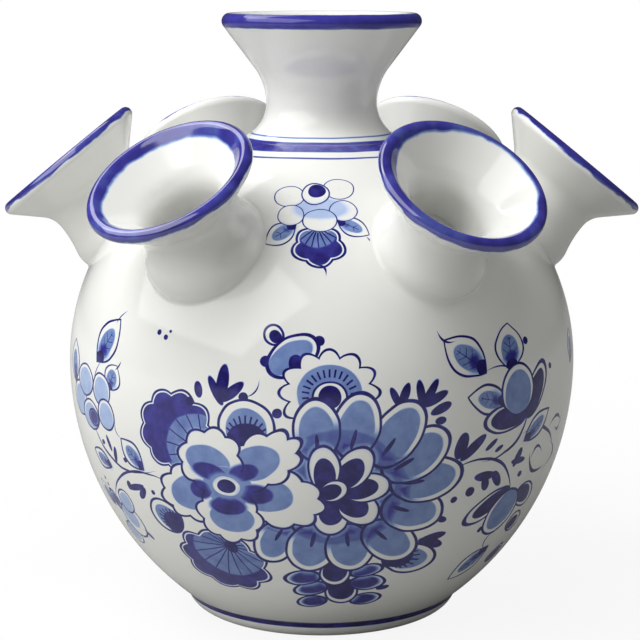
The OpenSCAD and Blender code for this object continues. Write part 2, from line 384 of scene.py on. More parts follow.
def fillet_grid(stand, size):
    """Grid of the slip's hollow line of a size round one spout, closed through a row inside the clay."""
    base = meets_globe(stand, stem_radius, 0.0)
    corner = in_spout(stand, AROUND, stem_radius(stand, base), base)
    wall = in_spout(stand, AROUND, stem_radius(stand, base - size), base - size)
    axis_point = in_spout(stand, AROUND, 0 * base, base)
    ring = np.hypot(corner[:, 0], corner[:, 1])
    spread = (ring - SHOULDER_C[0]) / ring
    normal = unit(np.stack([corner[:, 0] * spread, corner[:, 1] * spread, corner[:, 2] - SHOULDER_C[1]], axis=-1))
    away = unit(corner - axis_point)
    away = unit(away - (away * normal).sum(-1, keepdims=True) * normal)
    ground = corner + size * away
    ground = ground - (above_globe(ground)[:, None] + 0.01) * normal
    s = np.linspace(0, 1, 9)[:, None, None]
    curve = (1 - s) ** 2 * ground + 2 * s * (1 - s) * corner + s**2 * wall
    return np.concatenate([curve, [corner - 0.5 * away - 0.3 * normal]])


slips = []
for name, stand in SPOUTS.items():
    slip = piece_from_grid("slip_line_" + name, fillet_grid(stand, SOFT_FILLET if name == "front_right" else FILLET))
    dress(slip, "slip", "slip_" + name)
    slips.append(slip)

# %% [markdown]
# ## Adding nodes
# A finish is a small program of nodes. One function adds a node, sets its fields and fills its inputs, and
# colours are written as sRGB hex values, then turned to linear light.

# %% The node helper and the colours


def add(kind, *values, out=0, inputs=None, **fields):
    """Add one node to the finish in hand. The kind may end in an operation, values fill the inputs in order,
    inputs fills them by name or number, and fields are the node's own settings. Gives one of its outputs."""
    kind, _, operation = kind.partition(" ")
    node = finish.node_tree.nodes.new("ShaderNode" + kind)
    if operation:
        node.operation = operation
    for key, value in fields.items():
        setattr(node, key, value)
    for key, value in [*enumerate(values), *(inputs or {}).items()]:
        if isinstance(value, bpy.types.NodeSocket):
            finish.node_tree.links.new(value, node.inputs[key])
        elif value is not None:
            node.inputs[key].default_value = value
    return node.outputs[out] if node.outputs else None


def colour(hex_value):
    """Linear RGBA of an sRGB hex value: c / 12.92 near black, else ((c + 0.055) / 1.055) to the power 2.4."""
    c = np.array([int(hex_value[i : i + 2], 16) for i in (1, 3, 5)]) / 255
    return (*np.where(c <= 0.04045, c / 12.92, ((c + 0.055) / 1.055) ** 2.4).tolist(), 1.0)


def new_finish(name):
    """An empty material with this name."""
    material = bpy.data.materials.new(name)
    material.use_nodes = True
    material.node_tree.nodes.clear()
    return material


COBALT = [
    (0.0, "#E4E4E0"),
    (0.22, "#B9C8E6"),
    (0.42, "#819AC6"),
    (0.62, "#566AA6"),
    (0.80, "#3A3792"),
    (1.0, "#201A5A"),
]

# %% [markdown]
# ## Painting with fields
# The flowers are old brush patterns: petals with a dark outline, a white edge and a pale wash. Each brush mark
# is an oval or a leaf somewhere on the globe, given by its turn from the front, its height, its half length
# and half width in millimetres and its lean from upright. Three fields hold the painting, each a distance in
# millimetres that is negative under the paint: dark strokes, pale wash and deep wash. The smaller of two
# distances joins two marks, and the larger of one and the negative of another cuts a mark away, so a petal
# can hide what was painted before it.

# %% Marks on the globe
paint = {}
MARGIN = 3


def on_globe(turn, height):
    """Point of the globe at a turn and height, and the directions round it and up it."""
    centre, radius = (SHOULDER_C, SHOULDER_R) if height > SHOULDER_C[1] else (BELLY_C, BELLY_R)
    s = math.asin((height - centre[1]) / radius)
    out, round_it = round_axis(turn)
    point = out * (centre[0] + radius * math.cos(s)) + UP * height
    return point, round_it, UP * math.cos(s) - out * math.sin(s)


def mark(turn, height, long, wide, lean):
    """The grid of one brush mark: across it from -1 to 1 in x, along it from -1 to 1 in y, and its half sizes.
    Each coordinate is the dot product of the way from the mark's middle with a direction over a half size."""
    point, round_it, up = on_globe(turn, height)
    a = math.radians(lean)
    along, across = up * math.cos(a) + round_it * math.sin(a), round_it * math.cos(a) - up * math.sin(a)
    way = add("VectorMath SUBTRACT", paint["place"], tuple(point))
    x = add("VectorMath DOT_PRODUCT", way, tuple(across / wide), out=1)
    y = add("VectorMath DOT_PRODUCT", way, tuple(along / long), out=1)
    return add("CombineXYZ", x, y, 0.0), wide, long, x, y


def oval(at, x=0, y=0, wide=1, long=1):
    """Distance from an oval about (x, y) on a mark's grid: (length of the grid vector over its half sizes - 1),
    times the smaller half size in mm."""
    grid, half_wide, half_long = at[:3]
    if (x, y, wide, long) != (0, 0, 1, 1):
        grid = add("VectorMath MULTIPLY_ADD", grid, (1 / wide, 1 / long, 0), (-x / wide, -y / long, 0))
    radius = min(half_wide * wide, half_long * long)
    return add("Math MULTIPLY_ADD", add("VectorMath LENGTH", grid, out=1), radius, -radius)


def scalloped(at, lobes, depth):
    """An oval whose edge bows out by depth |cos(lobes a)|, with a the angle from its tip."""
    angle = add("Math ARCTAN2", at[3], at[4])
    bow = add("Math ABSOLUTE", add("Math COSINE", add("Math MULTIPLY", angle, lobes)))
    return add("Math MULTIPLY_ADD", bow, -depth, add("Math ADD", oval(at), depth * 0.6))


def rays(at, x, y, count, half):
    """Lines from a point (x, y) of a mark's grid: the folded angle about it times the distance from it, in mm,
    less half a line's width."""
    across = add("Math MULTIPLY_ADD", at[3], at[1], -x * at[1])
    along = add("Math MULTIPLY_ADD", at[4], at[2], -y * at[2])
    fold = add("Math PINGPONG", add("Math ARCTAN2", across, along), math.pi / count)
    length = add("VectorMath LENGTH", add("CombineXYZ", across, along, 0.0), out=1)
    return add("Math MULTIPLY_ADD", fold, length, -half)


def reaches(turn, height, long, wide, lean=0):
    """Whether a mark comes within a margin of the part of the globe in hand."""
    size = max(long, wide) + MARGIN
    around = math.degrees(size / np.hypot(*on_globe(turn, height)[0][:2]))
    turn_from, turn_to, low, high = paint["part"]
    return turn_from - around < turn < turn_to + around and low - size < height < high + size


def brush(field, *shapes):
    """Join shapes to one of the three fields."""
    for shape in shapes:
        paint[field] = add("Math MINIMUM", paint[field], shape) if field in paint else shape


def hide(body):
    """Cut a body out of everything painted so far, so that the bare glaze shows there."""
    away = add("Math MULTIPLY", body, -1.0)
    for field in ("dark", "pale", "deep"):
        if field in paint:
            paint[field] = add("Math MAXIMUM", paint[field], away)


def outline(body, half=0.32):
    """A brush line along the edge of a body: |distance| - half its width."""
    brush("dark", add("Math SUBTRACT", add("Math ABSOLUTE", body), half))


def within(shape, body):
    """The part of a shape that lies in a body."""
    return add("Math MAXIMUM", shape, body)


# %% [markdown]
# ## Petals, leaves and fans
# The painter repeats a few figures, so each gets a function: a washed petal with a short stroke, a dark petal
# with a white tip, a leaf with a dark foot and veins, a fan leaf, a scalloped petal, a thin bent line and a
# plain dab.

# %% The painter's figures


def figure(draw):
    """A figure that is called with a place, and left out where the place is out of reach of the part in hand."""

    def placed(place, *sizes, **choices):
        if reaches(*place):
            draw(mark(*place), *sizes, **choices)

    return placed


@figure
def washed_petal(at, stroke=True, edge=1.6):
    """Oval petal: outline, white edge and pale wash, with or without a deep wash at its foot and a dark stroke."""
    body = oval(at)
    hide(body)
    wide, long = 1 - edge * 0.8 / at[1], 1 - edge * 0.5 / at[2]
    brush("pale", within(oval(at, 0, -edge * 0.6 / at[2], wide, long), body))
    if stroke:
        brush("deep", within(add("Math MULTIPLY_ADD", at[4], 3.8, 1.0), body))
        brush("dark", oval(at, 0.02, -0.4, 0.1, 0.32))
    outline(body)


@figure
def dark_petal(at, tip=0.16, fill=0.84, ink="dark"):
    """Oval petal filled dark, with a white crescent left at its tip."""
    body = oval(at)
    hide(body)
    flesh = within(oval(at, 0.0, -tip, fill, fill + 0.06), body)
    brush(ink, flesh if ink == "dark" else add("Math MULTIPLY_ADD", flesh, 2.5, -0.5))
    outline(body, 0.28)


@figure
def white_petal(at, y=-0.55, wide=0.55, long=0.6, half=0.24, thin=False):
    """Oval petal left white, with a fine outline and a pale wash at its foot, which may be a thin one."""
    body = oval(at)
    hide(body)
    wash = within(oval(at, 0, y, wide, long), body)
    if thin:
        brush("deep", add("Math MAXIMUM", add("Math MULTIPLY", wash, 6.0), -0.25))
    else:
        brush("pale", wash)
    outline(body, half)


@figure
def tinted_leaf(at, veins=1.0, half=0.32):
    """Pointed leaf |x| + y^2 = 1: outline, pale wash, dark foot, a midrib and slanting side veins that far apart."""
    side = add("Math ABSOLUTE", at[3])
    bow = add("Math MULTIPLY_ADD", at[4], at[4], side)
    body = add("Math MULTIPLY_ADD", bow, at[1], -at[1])
    hide(body)
    wash = oval(at, 0, -0.12, 0.62, 0.66)
    brush("pale", wash)
    brush("deep", within(oval(at, 0.1, -0.6, 0.7, 0.66), add("Math ADD", wash, -0.3)))
    brush("dark", within(oval(at, 0.1, -0.95, 0.5, 0.5), body))
    slant = add("Math MULTIPLY_ADD", side, -0.7 * at[1], add("Math MULTIPLY", at[4], at[2]))
    vein = add("Math SUBTRACT", add("Math PINGPONG", slant, veins), 0.13)
    midrib = add("Math MULTIPLY_ADD", side, at[1], -0.13)
    brush("dark", within(add("Math MINIMUM", vein, midrib), add("Math ADD", wash, 0.5)))
    outline(body, half)


@figure
def rayed_petal(at):
    """Oval petal with a pale wash and a dark foot with short spikes."""
    body = oval(at)
    hide(body)
    wash = oval(at, 0, -0.15, 0.74, 0.84)
    brush("pale", within(wash, body))
    brush("dark", within(oval(at, 0, -0.55, 0.74, 0.68), body))
    brush("dark", within(rays(at, 0, -0.6, 26, 0.26), within(oval(at, 0, -0.45, 0.8, 0.86), wash)))
    outline(body)


@figure
def bloom_petal(at, lobes, wash):
    """Scalloped petal with a wide white edge and a pale wash of its own shape."""
    body = scalloped(at, lobes, 1.2)
    hide(body)
    brush("pale", within(oval(mark(*wash)), body))
    outline(body, 0.34)


@figure
def fan(at, lobes, pivot, light, veins, depth=1.0):
    """Fan leaf: scalloped outline, a thin white line, dark flesh that grows lighter, and veins about a pivot."""
    body = scalloped(at, lobes, depth)
    hide(body)
    inner = oval(at, *light)
    flesh = add("Math ADD", body, 0.75)
    crisp = add("Math MULTIPLY_ADD", flesh, 12.0, -2.0)
    brush("deep", add("Math MAXIMUM", crisp, -0.75), within(add("Math MULTIPLY_ADD", inner, -2.0, -1.2), crisp))
    brush("dark", within(rays(at, *pivot, veins, 0.2), within(inner, flesh)))
    outline(body, 0.28)


def dabs(*places):
    """Plain dark brush dabs."""
    for place in filter(lambda place: reaches(*place), places):
        brush("dark", oval(mark(*place)))


def dots(*places, size=1.0):
    """Round dark dots of one size."""
    dabs(*[(turn, height, size, size, 0) for turn, height in places])


def line(start, middle, end, half=0.2):
    """A thin bent line through three places: |x + bend y^2| with x across and y along it, tapering at its ends."""
    (a, *_), (b, round_it, up), (c, *_) = (on_globe(*place) for place in (start, middle, end))
    chord = (c - a) / 2
    if not reaches(*middle, np.linalg.norm(chord) * 1.2, 1):
        return
    lean = math.degrees(math.atan2(chord @ round_it, chord @ up))
    across = round_it * math.cos(math.radians(lean)) - up * math.sin(math.radians(lean))
    bend = float((b - (a + c) / 2) @ across)
    at = mark(*middle, float(np.hypot(chord @ round_it, chord @ up)), 1.0, lean)
    square = add("Math MULTIPLY", at[4], at[4])
    off = add("Math ABSOLUTE", add("Math MULTIPLY_ADD", square, bend, at[3]))
    brush("dark", add("Math SUBTRACT", add("Math MULTIPLY_ADD", square, half * 0.75, off), half))


# %% [markdown]
# ## The bouquet
# The front carries a bouquet: a large many-petalled rose, a five-petalled flower beside it, a scalloped flower
# above, fan leaves and round petals behind. What lies behind is painted first. The places follow the
# composition of the real pot, rounded; each figure is drawn by its formula. A slow noise moves the places by up
# to half a millimetre, like a hand that isn't quite steady. The back of the pot carries the same bouquet, half a
# turn on.

# %% Sprigs on the right


def right_sprigs():
    """Two buds on thin stems, with leaves and tendrils."""
    line((48, 62), (46.5, 54.5), (36, 49), 0.42)
    line((30, 50.5), (41, 50.5), (48.5, 41), 0.42)
    line((48.5, 29), (46.5, 27), (48, 24), 0.22)
    line((49.5, 56.5), (57.5, 55.5), (63, 50.5), 0.45)
    line((63, 50.5), (66.5, 46.5), (62.5, 43.5), 0.55)
    line((62.5, 43.5), (56, 44.5), (54, 48.5), 0.5)
    line((54, 48.5), (55.5, 51), (58.5, 49.5), 0.45)
    line((60.5, 55.5), (64, 57), (67, 55), 0.45)
    line((67, 55), (66, 53), (63.5, 54), 0.45)
    tinted_leaf((31.5, 77.5, 7.2, 4.6, -51))
    line((28.5, 81.5), (26.5, 81.8), (25, 84), 0.3)
    line((37, 73.5), (41, 74), (45, 71.5), 0.2)
    tinted_leaf((44, 78, 5.8, 5.0, 4))
    dots((49.5, 79), size=1.0)
    tinted_leaf((37, 66.5, 6.4, 3.6, -77))
    dark_petal((52.5, 66.5, 7.2, 3.4, 30))
    dots((58.5, 71), size=0.8)
    tinted_leaf((74, 73, 4.4, 2.8, 8))
    line((73, 70), (72.6, 69.3), (72.2, 68.5), 0.3)
    dark_petal((42.5, 61, 7.4, 3.4, -93))
    washed_petal((46, 67.5, 6.2, 6.2, 0), stroke=False, edge=1.3)
    tinted_leaf((54, 57, 6.2, 2.8, 60))
    dark_petal((41.5, 38, 7.4, 3.2, -119), fill=0.76)
    dark_petal((56, 38, 4.8, 3.4, 120), fill=0.76)
    washed_petal((48, 35, 6.8, 5.6, -155), stroke=False, edge=1.3)
    dark_petal((57, 30, 3.0, 3.4, 51), fill=0.7)
    dots((42, 31.5), size=0.9)
    tinted_leaf((45.5, 20.5, 6.6, 4.0, -139))
    dark_petal((58.5, 20.5, 3.2, 2.6, 30), ink="deep")


# %% Sprigs on the left


def left_sprigs():
    """A small pale flower, buds and leaves on thin stems."""
    line((-58, 56), (-53, 47.5), (-38, 46), 0.36)
    line((-37, 46), (-49, 45.5), (-59, 37), 0.36)
    tinted_leaf((-53.5, 78, 7.2, 4.4, 35))
    line((-51, 83), (-50, 84.5), (-48.5, 86), 0.18)
    line((-55.5, 72.5), (-57, 70), (-58, 68), 0.16)
    tinted_leaf((-71, 69.5, 5.6, 4.2, -10))
    tinted_leaf((-50.5, 69.5, 3.8, 3.4, 30), 0.8, 0.26)
    line((-49.2, 71.8), (-48.3, 72.8), (-47.5, 74), 0.2)
    for place in [
        (-67, 61, 4.4, 5.0, 0),
        (-63, 66.5, 4.0, 5.0, 0),
        (-55, 65.5, 4.0, 4.2, 0),
        (-61, 58, 3.8, 4.8, 0),
        (-53.5, 59.5, 4.0, 3.8, -8),
    ]:
        white_petal(place, -0.1, 0.84, 0.86, thin=True)
    dark_petal((-59.5, 57.5, 2.0, 2.8, 0), tip=0, ink="deep")
    tinted_leaf((-45.5, 51, 5.0, 3.2, -45), 0.8)
    line((-48.5, 54.5), (-50, 56), (-50, 58), 0.15)
    tinted_leaf((-59, 47, 4.4, 2.6, -70), 0.8)
    tinted_leaf((-64, 36.5, 4.0, 2.6, -30), 0.8, 0.2)
    dark_petal((-60, 35.5, 3.0, 1.8, -25), ink="deep")
    white_petal((-58.5, 26.5, 3.4, 3.4, 170), -0.1, 0.8, 0.84, thin=True)
    white_petal((-54.5, 31, 5.2, 4.2, 150), -0.25, 0.7, 0.7, thin=True)
    white_petal((-54, 36.5, 3.4, 3.2, 20), -0.1, 0.8, 0.84, thin=True)
    dabs((-49.5, 28, 1.7, 0.6, 135))
    dots((-61.5, 41), (-61, 39.5), size=0.5)
    dabs((-47, 42, 3.4, 0.9, 71), (-45, 41, 2.2, 1.0, -144), (-49.5, 42, 1.2, 1.0, 0))
    dabs((-54, 52, 2.2, 0.7, -20), (-52, 49.5, 2.2, 0.8, 10))
    dots((-41, 42), (-48.5, 49), (-56.5, 52), size=0.7)
    dots((-37, 82.5), (-35, 81.5), size=0.65)
    dots((-34, 83), size=0.4)


# %% Dark sprigs between the flowers


def dark_sprigs():
    """Short strokes of full cobalt that fill the gaps."""
    dabs((-22, 70.5, 3.8, 1.1, -28), (-20.5, 72.5, 4.6, 1.5, 6), (-18.5, 70.5, 3.8, 1.3, 49))
    dabs((-26, 70.5, 1.9, 1.1, -10))
    dabs((15, 69.5, 2.6, 0.9, -23), (17, 70, 3.0, 1.1, 24))
    dabs((20.5, 70, 3.4, 1.1, -5), (22.5, 70, 3.8, 1.1, 36), (23.5, 68.5, 3.8, 1.2, 68))
    dabs((25, 66, 3.0, 1.2, 70), (25, 63, 1.5, 1.0, 84))
    dabs((30.5, 56, 3.4, 1.7, 15), (33.5, 55, 4.4, 1.4, 50), (38.5, 55, 2.2, 0.7, 55), (41, 53.5, 1.4, 0.6, 69))
    dabs((48, 50, 2.6, 1.1, 23), (48.5, 49, 2.8, 0.9, 92))
    dabs((38, 47, 3.4, 1.3, 90), (42, 45.5, 2.9, 1.3, 142), (38.5, 45, 2.4, 1.3, 161))
    dots((34.5, 43.5), size=1.3)
    dots((30.5, 42), (50.5, 45), size=0.9)
    dabs((27, 32, 3.8, 1.3, 75), (27, 30.5, 3.9, 1.6, 110), (28.5, 37, 1.6, 1.0, 112))


# %% Leaves and petals behind the flowers


def behind_the_flowers():
    """Fan leaves, round petals and beads that the flowers partly cover."""
    dots((-0.5, 83), (-11.5, 78), size=1.3)
    dark_petal((-10, 84, 2.4, 2.2, -50), tip=0.25, fill=0.66)
    washed_petal((-6, 79.5, 6.6, 4.2, 56), stroke=False, edge=1.3)
    dabs((-5, 77.5, 2.4, 1.8, -37))
    fan((-32, 59.5, 9.8, 10.6, -25), 4.5, (0.5, -0.8), (0.4, -0.62, 0.84, 0.9), 20, 1.3)
    fan((-26, 25, 9.8, 11.6, -165), 4.5, (-0.12, -0.7), (-0.1, -0.42, 0.8, 0.82), 20, 1.3)
    dabs((-22, 30, 1.8, 1.4, 0))
    dots((-36.5, 27), (-28, 67.5), size=1.1)
    dots((-16, 69.5), (-9, 66), size=1.2)
    line((-15, 70), (-13.5, 71), (-12.5, 73.5), 0.18)
    rayed_petal((-15.5, 62.5, 6.4, 6.8, -2))
    rayed_petal((22.5, 26.5, 7.2, 4.8, 105))
    rayed_petal((-39, 36, 5.2, 4.6, -53))


# %% The drooping petals below


def drooping_petals():
    """Small dark petals under the rose."""
    for ink, place in [
        ("deep", (-3, 14, 3.6, 2.6, -110)),
        ("deep", (13, 14.5, 3.8, 2.6, 83)),
        ("dark", (5.5, 17.5, 5.2, 4.0, 176)),
        ("deep", (-3, 18.5, 4.2, 2.6, -112)),
        ("deep", (12.5, 20, 4.4, 2.8, 95)),
        ("deep", (-5, 22, 4.6, 2.6, -98)),
        ("deep", (11.5, 24, 4.0, 2.2, 77)),
        ("dark", (3.5, 23.5, 4.8, 3.6, 178)),
    ]:
        dark_petal(place, tip=0.2, ink=ink)
    dabs((17.5, 18, 1.6, 0.9, 70))


# %% The scalloped flower above


def scalloped_flower():
    """A half flower: scalloped edge, pale wash with short rays, and a white ring round a dark heart."""
    place = (1.6, 71, 9.4, 11.0, 0)
    if not reaches(*place):
        return
    at = mark(*place)
    body = scalloped(at, 6.0, 1.9)
    hide(body)
    wash = oval(at, 0, -0.03, 0.7, 0.74)
    brush("pale", wash)
    past_heart = add("Math MULTIPLY", oval(at, 0, -0.1, 0.44, 0.5), -1.0)
    brush("dark", within(rays(at, 0, -0.1, 27, 0.26), within(add("Math ADD", wash, 1.0), past_heart)))
    outline(body)
    arch = oval(at, 0, -0.1, 0.36, 0.38)
    hide(arch)
    brush("dark", oval(at, 0, -0.1, 0.24, 0.29))
    outline(arch, 0.26)


# %% The rose


def rose():
    """Ten washed petals, five dark petals and a dark heart."""
    for place in [
        (-11, 32.5, 7.0, 4.8, -152),
        (-2.5, 31, 7.8, 5.8, -168),
        (6.5, 31, 7.6, 5.8, 171),
        (16, 32.5, 8.4, 5.6, 133),
        (20.5, 40.5, 8.4, 5.8, 109),
        (23, 48.5, 9.4, 5.8, 86),
        (20, 55, 9.2, 6.0, 60),
        (15.5, 60.5, 9.0, 5.8, 36),
        (7, 63, 8.2, 5.6, 13),
        (-1, 62, 7.6, 5.4, -2),
    ]:
        washed_petal(place)
    disc = (3.5, 47, 17.0, 17.0, 0)
    if reaches(*disc):
        brush("deep", add("Math MAXIMUM", add("Math MULTIPLY", oval(mark(*disc)), 0.5), -1.0))
    for place in [
        (2, 40, 5.2, 4.2, -176),
        (8, 42, 5.4, 4.2, 127),
        (9.5, 47.5, 5.8, 3.7, 82),
        (6.5, 52.5, 6.0, 4.1, 39),
        (0.5, 52.5, 5.8, 3.7, -4),
    ]:
        dark_petal(place, tip=0.3, fill=0.72)
    dark_petal((2.5, 47, 3.4, 2.7, 75), tip=0.22, fill=0.74)


# %% The five-petalled flower


def five_petalled_flower():
    """Five scalloped petals, washed where they meet, with deep spots round a dark heart in a white ring."""
    for place, lobes, wash in [
        ((-29, 44, 9.8, 7.6, -106), 4.5, (-29.5, 44, 6.2, 4.8, -107)),
        ((-9.5, 44.5, 11.0, 7.8, 102), 4.5, (-12.5, 45.5, 7.2, 4.5, 95)),
        ((-21, 39, 7.8, 8.2, -173), 4.0, (-20.5, 38.5, 5.8, 4.2, 88)),
        ((-12.5, 54, 10.4, 6.4, 60), 4.5, (-14, 53.5, 6.4, 4.2, 66)),
        ((-24, 53.5, 7.6, 8.6, -33), 4.0, (-24.5, 53, 6.0, 4.2, -76)),
    ]:
        bloom_petal(place, lobes, wash)
    if not reaches(-20.7, 47, 9.0, 9.0):
        return
    core = oval(mark(-20.5, 47, 5.2, 6.4, 0))
    hide(core)
    brush("pale", core)
    for place in [
        (-24.5, 50.5, 4.6, 2.3, -80),
        (-16.5, 51, 4.2, 2.3, 74),
        (-14, 45.5, 4.6, 2.7, 91),
        (-21, 41.8, 4.7, 2.8, 87),
        (-27, 45.5, 3.2, 2.6, -98),
    ]:
        brush("deep", add("Math MULTIPLY_ADD", oval(mark(*place)), 2.6, -0.5))
    heart = mark(-20.7, 47, 2.5, 3.5, 0)
    hide(oval(heart))
    brush("dark", oval(heart, 0, 0, 0.7, 0.7))


# %% The posy under the neck


def posy():
    """A small flower of white petals on a dark fan."""
    tinted_leaf((-11, 106, 4.4, 2.9, -128), 3.0, 0.2)
    tinted_leaf((8.5, 107.5, 4.2, 2.6, 122), 3.0, 0.2)
    line((11.5, 105.5), (12.5, 104.5), (13, 104), 0.18)
    fan((-0.8, 103.5, 5.2, 6.0, 177), 2.5, (0, -1.0), (0, -0.8, 0.8, 0.86), 20, 1.0)
    line((-1.5, 99.5), (0.5, 99), (1, 97.5), 0.3)
    for place in [
        (-10.5, 114, 3.6, 3.4, -72),
        (5.8, 115.5, 3.8, 3.6, 69),
        (6.2, 111, 3.4, 3.2, 94),
        (-9, 110, 3.2, 3.2, -112),
        (-0.6, 109, 3.3, 4.0, 180),
    ]:
        white_petal(place, 0, 0.01, 0.01, 0.13)
    brush("deep", add("Math MAXIMUM", oval(mark(-0.5, 111.5, 3.0, 6.0, 0)), -0.1))
    berry = mark(-2.2, 114.5, 3.6, 3.2, 0)
    hide(oval(berry))
    brush("dark", oval(berry, 0.12, 0.28, 0.64, 0.62))
    outline(oval(berry), 0.17)


# %% [markdown]
# ## From fields to glaze
# Cobalt sinks into the tin glaze, so a stroke has a soft edge of a tenth of a millimetre and a wash is uneven.
# The darkest of the three fields wins, and a ramp turns its strength into the blues of thin and thick cobalt.
# The bands at the neck and the foot are rings of a given height. The glaze itself is a clear glass coat:
# index 1.6 from its lead, nearly smooth, with slow ripples of a few hundredths of a millimetre. On the lips the
# blue lies thick and mirrors more strongly, so the index rises there.

# %% Glaze helpers
GLAZE_INDEX, LIP_INDEX, GLAZE_ROUGHNESS = 1.6, 2.0, 0.09
DARK, PALE, DEEP = 0.97, 0.52, 0.9
BROAD_BAND, UPPER_LINE, LOWER_LINE = (122.9, 124.8, 0.1, 0.8), (125.6, 125.9, 0.12, 0.62), (121.55, 121.85, 0.08, 0.8)
FOOT_BAND, FOOT_BAND_FROM_R = (3.4, 5.2, 0.15, 0.95), 33


def ring(low, high, soft, strength, height):
    """Strength of a painted ring between two heights in mm, with edges that soft."""
    middle, half = (low + high) / 2, (high - low) / 2
    off = add("Math SUBTRACT", add("Math ABSOLUTE", add("Math SUBTRACT", height, middle)), half)
    return add("MapRange", off, soft, -soft, 0.0, strength, interpolation_type="SMOOTHSTEP")


def glazed(density, uneven=0.09, index=GLAZE_INDEX):
    """Tin glaze with cobalt of a given density, uneven by a share, under a glassy coat of a given index."""
    place = add("TexCoord", out=3)
    cloud = add("TexNoise", place, inputs={"Scale": 1 / (3 * MM), "Detail": 3.0})
    density = add("Math MULTIPLY", density, add("MapRange", cloud, 0.3, 0.7, 1 - uneven, 1 + uneven))
    ramp = add("ValToRGB", density).node
    while len(ramp.color_ramp.elements) < len(COBALT):
        ramp.color_ramp.elements.new(0.5)
    for element, (at, hex_value) in zip(ramp.color_ramp.elements, COBALT):
        element.position, element.color = at, colour(hex_value)
    ripple = add("TexNoise", place, inputs={"Scale": 1 / (14 * MM), "Detail": 2.0})
    bump = add("Bump", inputs={"Strength": 0.12, "Distance": 0.3 * MM, "Height": ripple})
    coat = {"Base Color": ramp.outputs[0], "Roughness": GLAZE_ROUGHNESS, "IOR": index, "Normal": bump}
    add("OutputMaterial", add("BsdfPrincipled", inputs=coat))


def height_here():
    """Height above the floor in mm, moved a little by a slow noise as by a hand on the wheel."""
    place = add("TexCoord", out=3)
    sway = add("TexNoise", place, inputs={"Scale": 1 / (12 * MM), "Detail": 1.0})
    high = add("Math MULTIPLY", add("SeparateXYZ", place).node.outputs[2], 1 / MM)
    return add("Math ADD", high, add("MapRange", sway, 0.0, 1.0, -0.12, 0.12))


def bands():
    """The rings that run over the joints: one broad and two thin below the neck, and one round the outside of
    the foot, which stays off the underside."""
    height = height_here()
    from_axis = add("VectorMath LENGTH", add("VectorMath MULTIPLY", add("TexCoord", out=3), (1, 1, 0)), out=1)
    outer_side = add("Math GREATER_THAN", from_axis, FOOT_BAND_FROM_R * MM)
    thin = add("Math MAXIMUM", ring(*UPPER_LINE, height), ring(*LOWER_LINE, height))
    neck_bands = add("Math MAXIMUM", ring(*BROAD_BAND, height), thin)
    return add("Math MAXIMUM", neck_bands, add("Math MULTIPLY", ring(*FOOT_BAND, height), outer_side))


# %% [markdown]
# ## The globe's glaze, part by part
# A shader with every mark of the bouquet would be slow, since each ray would work out all of them. The globe is
# therefore divided into a few parts by turn and height, and each part's material holds only the marks that
# reach it. The parts meet without a seam, because a mark that lies on a border is in both.

# %% The painted parts
PARTS = {
    "left sprigs": (-90, -37, 0, 92),
    "five-petalled flower": (-37, -14, 0, 92),
    "middle": (-14, 4, 0, 92),
    "rose": (4, 22, 0, 92),
    "dark sprigs": (22, 38, 0, 92),
    "right sprigs": (38, 90, 0, 92),
    "posy": (-22, 22, 92, 122),
}


def painted_part(name, part):
    """The glaze of one part: the figures from back to front, the three fields' strengths, then the bands."""
    global finish
    finish = new_finish("Tin glaze painted in cobalt, " + name)
    here = add("TexCoord", out=3)
    half_turn = add("Math MULTIPLY", add("Math SIGN", add("SeparateXYZ", here).node.outputs[1]), -1.0)
    facing = add("VectorMath MULTIPLY", here, add("CombineXYZ", half_turn, half_turn, 1.0))
    tremor = add("TexNoise", here, inputs={"Scale": 1 / (7 * MM), "Detail": 1.0}, out=1)
    tremor = add("VectorMath MULTIPLY_ADD", tremor, (0.9,) * 3, (-0.45,) * 3)
    paint.clear()
    paint["part"] = part
    paint["place"] = add("VectorMath MULTIPLY_ADD", facing, (1 / MM,) * 3, tremor)
    paint["dark"] = paint["pale"] = paint["deep"] = add("Value")
    paint["dark"].default_value = 9.0
    behind = right_sprigs, left_sprigs, dark_sprigs, behind_the_flowers, drooping_petals
    for paint_group in (*behind, scalloped_flower, rose, five_petalled_flower):
        paint_group()
    if part[3] > 100:
        posy()
    density = add("MapRange", paint["dark"], 0.08, -0.08, 0.0, DARK, interpolation_type="SMOOTHSTEP")
    pale = add("MapRange", paint["pale"], 0.18, -0.18, 0.0, PALE, interpolation_type="SMOOTHSTEP")
    deep = add("MapRange", paint["deep"], 1.0, -2.0, 0.0, DEEP, interpolation_type="SMOOTHSTEP")
    density = add("Math MAXIMUM", density, add("Math MAXIMUM", pale, deep))
    glazed(add("Math MAXIMUM", density, bands()))
    print(f"{finish.name}: {len(finish.node_tree.nodes)} nodes")
    return finish


painted = [painted_part(name, part) for name, part in PARTS.items()]

# %% Plain and banded glazes
finish = glaze = new_finish("White tin glaze")
glazed(bands())

finish = lip_glaze = new_finish("Tin glaze with a cobalt lip")
place = add("TexCoord", out=3)
along = add("Attribute", attribute_name="lip", out=2)
sway = add("TexNoise", place, inputs={"Scale": 1 / (9 * MM), "Detail": 1.0})
ragged = add("TexNoise", place, inputs={"Scale": 1 / (4 * MM), "Detail": 2.0})
along = add("Math ADD", along, add("MapRange", sway, 0.3, 0.7, -0.5, 0.5))
torn = add("Math ADD", along, add("MapRange", ragged, 0.3, 0.7, -0.2, 0.2))
wash = ring(-2.9, 2.5, 0.4, 0.6, torn)
thick = add("MapRange", sway, 0.35, 0.65, 0.74, 0.9)
full = add("Math MULTIPLY", ring(-2.6, 2.8, 0.3, 1.0, torn), thick)
glazed(add("Math MAXIMUM", wash, full), 0.05, add("MapRange", full, 0.5, 0.75, GLAZE_INDEX, LIP_INDEX))

